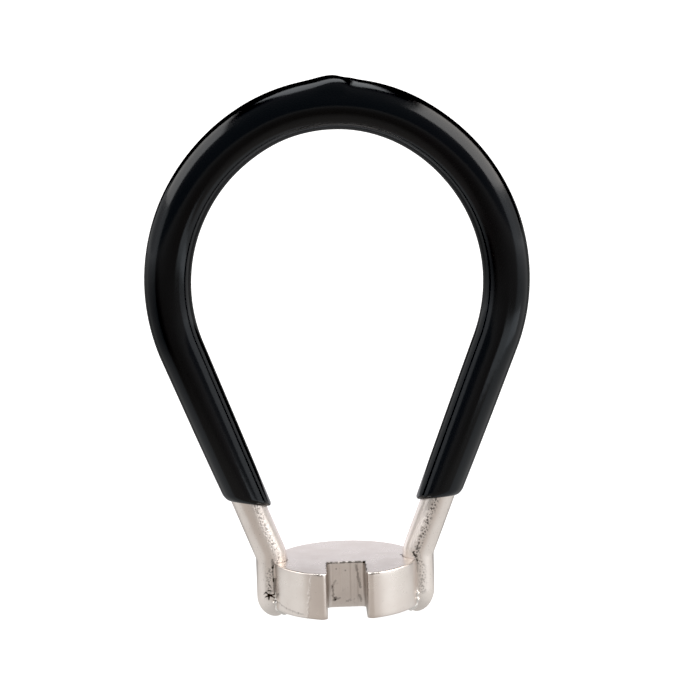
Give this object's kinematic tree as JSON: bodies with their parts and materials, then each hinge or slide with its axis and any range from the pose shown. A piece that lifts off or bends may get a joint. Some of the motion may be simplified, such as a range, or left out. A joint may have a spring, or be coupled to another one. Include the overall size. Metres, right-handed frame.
{
  "type": "spoke wrench",
  "caption": "Spoke wrench with a round, slotted steel jaw welded between the feet of a bent wire loop handle, which is dipped in glossy black vinyl.",
  "frame": {"origin": "on the axis of a nipple seated in the slot, level with the jaw disc's underside", "axes": "+Z along the nipple's axis, up towards the loop; +X across the loop; +Y to the back, so the slot opens towards -Y"},
  "size_m": [0.0418, 0.0153, 0.0595],
  "materials": {
    "nickel_plate": "satin nickel plate over steel, finely pitted",
    "weld_metal": "plated weld bead, bright and uneven",
    "black_vinyl": "glossy dipped vinyl"
  },
  "bodies": {
    "root": {"jaw_disc": "nickel_plate", "handle_wire": "nickel_plate", "grip_coat": "black_vinyl", "left_weld": "weld_metal", "right_weld": "weld_metal"}
  },
  "joints": []
}
